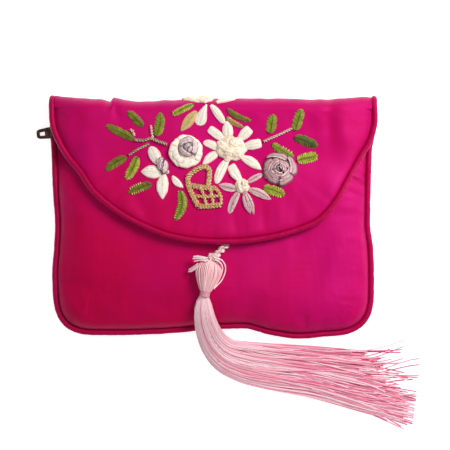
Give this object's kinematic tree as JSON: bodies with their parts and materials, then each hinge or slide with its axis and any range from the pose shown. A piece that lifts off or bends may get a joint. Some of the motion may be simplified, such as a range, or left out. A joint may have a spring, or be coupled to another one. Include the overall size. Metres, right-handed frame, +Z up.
{
  "type": "embroidered silk purse",
  "caption": "Small padded satin flap purse with ribbon embroidery, piped edges, a zip under the flap and a silk tassel on the flap's tip.",
  "frame": {"origin": "on the floor, under the middle of the purse, on the back panel's flat outer face", "axes": "+Z up from the back panel through the front and the flap, +Y from the bottom seam to the fold, +X to the wearer's right as the flap is seen"},
  "size_m": [0.172, 0.1515, 0.0219],
  "materials": {
    "satin": "magenta silk satin, soft sheen",
    "satin_piping": "the same satin over cord",
    "zip_tape": "dyed zip tape and nylon coil",
    "aged_brass": "dark antique brass",
    "leaf_ribbon": "olive silk ribbon",
    "tan_ribbon": "tan silk ribbon",
    "stem_thread": "brown green twisted thread",
    "white_ribbon": "cream white silk ribbon",
    "mauve_ribbon": "mauve silk ribbon",
    "gold_cord": "gold couched cord",
    "pink_silk": "pale pink silk thread"
  },
  "bodies": {
    "purse": {"front_panel": "satin", "back_flap_panel": "satin", "body_piping": "satin_piping", "flap_piping": "satin_piping", "zip_tape_front": "zip_tape", "zip_tape_back": "zip_tape", "zip_coil": "zip_tape", "zip_slider": "aged_brass", "leaf_left_1": "leaf_ribbon", "leaf_left_2": "leaf_ribbon", "leaf_left_3": "leaf_ribbon", "leaf_left_5": "leaf_ribbon", "leaf_left_6": "leaf_ribbon", "leaf_left_7": "leaf_ribbon", "leaf_left_8": "leaf_ribbon", "leaf_left_9": "leaf_ribbon", "leaf_right_10": "leaf_ribbon", "leaf_right_11": "leaf_ribbon", "leaf_right_1": "leaf_ribbon", "leaf_right_2": "leaf_ribbon", "leaf_right_3": "leaf_ribbon", "leaf_right_4": "leaf_ribbon", "leaf_right_5": "leaf_ribbon", "leaf_right_6": "leaf_ribbon", "leaf_tan": "tan_ribbon", "stem_left_upper": "stem_thread", "stem_left_lower": "stem_thread", "stem_right": "stem_thread", "stitch_left_1": "stem_thread", "stitch_left_2": "stem_thread", "flower_left": "white_ribbon", "flower_big": "white_ribbon", "flower_small": "white_ribbon", "flower_fold": "white_ribbon", "petal_small": "white_ribbon", "rose_cream": "white_ribbon", "rose_mauve": "mauve_ribbon", "basket": "gold_cord", "tassel": "pink_silk", "tassel_cord": "pink_silk", "tassel_neck_wrap": "pink_silk"},
    "pull": {"zip_pull": "aged_brass"}
  },
  "joints": [
    {"name": "pull_hinge", "type": "hinge", "parent": "purse", "child": "pull", "pos_m": [-0.0654, 0.04, 0.00842], "axis": [-0.1219, 0.9925, 0], "range_deg": [0, 8]}
  ]
}
